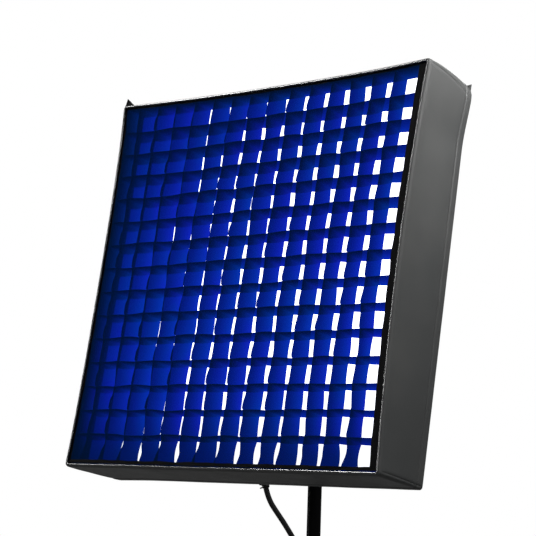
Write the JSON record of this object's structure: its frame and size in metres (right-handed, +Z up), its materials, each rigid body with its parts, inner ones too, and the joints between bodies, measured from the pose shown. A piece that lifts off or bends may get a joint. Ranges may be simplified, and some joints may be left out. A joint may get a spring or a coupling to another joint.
{
  "type": "softbox light head on a stand riser",
  "caption": "Square fabric softbox with a removable egg-crate grid over a flexible light mat, on a folding cross bracket that tilts and pans on a stand riser.",
  "frame": {"origin": "centre of the riser's lower end face", "axes": "+Z up along the riser; the light leaves towards -Y; +X is to the left of someone who faces the light, so to the right of someone who looks along +Y"},
  "size_m": [0.6, 0.2909, 0.8942],
  "materials": {
    "shell_cloth": "satin, coated cloth",
    "black_tape": "matte, woven tape",
    "grid_cloth": "matte cloth strips",
    "white_cloth": "matte, translucent white cloth",
    "led_sheet": "matte white flexible board",
    "mat_cloth": "matte cloth over foam",
    "black_plastic": "matte",
    "black_metal": "satin black anodised",
    "bright_steel": "brushed",
    "nylon": "matte",
    "cable_rubber": "matte"
  },
  "bodies": {
    "riser": {"riser_tube": "black_metal", "riser_end_plug": "black_plastic", "slip_bush": "nylon", "riser_spigot": "bright_steel"},
    "receiver": {"receiver": "black_metal", "cable_strap": "black_tape", "head_cable": "cable_rubber", "cable_connector": "black_plastic"},
    "spigot_lock": {"spigot_lock": "black_metal"},
    "connector_ring": {"connector_ring": "black_metal"},
    "grid": {"egg_crate_grid": "grid_cloth"},
    "tilt_lever": {"tilt_lever": "black_plastic"},
    "arm_tl": {"arm_tl": "black_metal", "arm_tip_tl": "black_plastic"},
    "arm_tr": {"arm_tr": "black_metal", "arm_tip_tr": "black_plastic"},
    "arm_bl": {"arm_bl": "black_metal", "arm_tip_bl": "black_plastic"},
    "arm_br": {"arm_br": "black_metal", "arm_tip_br": "black_plastic"},
    "head": {"top_panel": "shell_cloth", "bottom_panel": "shell_cloth", "left_panel": "shell_cloth", "right_panel": "shell_cloth", "flange_top": "shell_cloth", "flange_bottom": "shell_cloth", "flange_left": "shell_cloth", "flange_right": "shell_cloth", "front_piping": "black_tape", "front_hem_top": "black_tape", "front_hem_bottom": "black_tape", "front_hem_left": "black_tape", "front_hem_right": "black_tape", "pull_tab": "black_tape", "diffuser": "white_cloth", "led_board": "led_sheet", "mat_back": "mat_cloth", "mat_core": "mat_cloth", "corner_socket_tl": "black_plastic", "corner_socket_tr": "black_plastic", "corner_socket_bl": "black_plastic", "corner_socket_br": "black_plastic", "junction_box": "black_plastic", "cable_gland": "black_plastic", "hub_cover": "black_plastic", "bracket_hub": "black_metal", "yoke": "black_metal", "arm_pin_tl": "bright_steel", "arm_pin_tr": "bright_steel", "arm_pin_bl": "bright_steel", "arm_pin_br": "bright_steel", "yoke_screw_1": "bright_steel", "yoke_screw_2": "bright_steel", "yoke_screw_3": "bright_steel", "yoke_screw_4": "bright_steel", "tilt_bolt": "bright_steel", "tilt_washer_l": "bright_steel", "tilt_washer_r": "bright_steel", "friction_disc_l": "nylon", "friction_disc_r": "nylon"}
  },
  "joints": [
    {"name": "pan", "type": "hinge", "parent": "riser", "child": "receiver", "pos_m": [0, 0, 0.56], "axis": [0, 0, 1], "continuous": true},
    {"name": "spigot_lock_turn", "type": "hinge", "parent": "receiver", "child": "spigot_lock", "pos_m": [0, 0, 0.536], "axis": [0, 1, 0], "range_deg": [0, 360]},
    {"name": "ring_turn", "type": "hinge", "parent": "receiver", "child": "connector_ring", "pos_m": [-0.023, 0, 0.046], "axis": [0, 0, 1], "range_deg": [0, 90]},
    {"name": "tilt", "type": "hinge", "parent": "receiver", "child": "head", "pos_m": [0, -0.035, 0.56], "axis": [-1, 0, 0], "range_deg": [-21.5, 80.5], "deforming": ["head_cable"]},
    {"name": "lever_turn", "type": "hinge", "parent": "head", "child": "tilt_lever", "pos_m": [0, -0.035, 0.56], "axis": [1, 0, 0], "range_deg": [0, 95]},
    {"name": "grid_pull", "type": "slide", "parent": "head", "child": "grid", "axis": [0, -0.9863, 0.165], "range_m": [0, 0.045]},
    {"name": "fold_tl", "type": "hinge", "parent": "head", "child": "arm_tl", "pos_m": [-0.04667, -0.07336, 0.61374], "axis": [-0.7071, -0.1167, -0.6974], "range_deg": [0, 78]},
    {"name": "fold_tr", "type": "hinge", "parent": "head", "child": "arm_tr", "pos_m": [0.04667, -0.07336, 0.61374], "axis": [-0.7071, 0.1167, 0.6974], "range_deg": [0, 78]},
    {"name": "fold_bl", "type": "hinge", "parent": "head", "child": "arm_bl", "pos_m": [-0.04667, -0.08876, 0.52168], "axis": [0.7071, -0.1167, -0.6974], "range_deg": [0, 78]},
    {"name": "fold_br", "type": "hinge", "parent": "head", "child": "arm_br", "pos_m": [0.04667, -0.08876, 0.52168], "axis": [0.7071, 0.1167, 0.6974], "range_deg": [0, 78]}
  ]
}
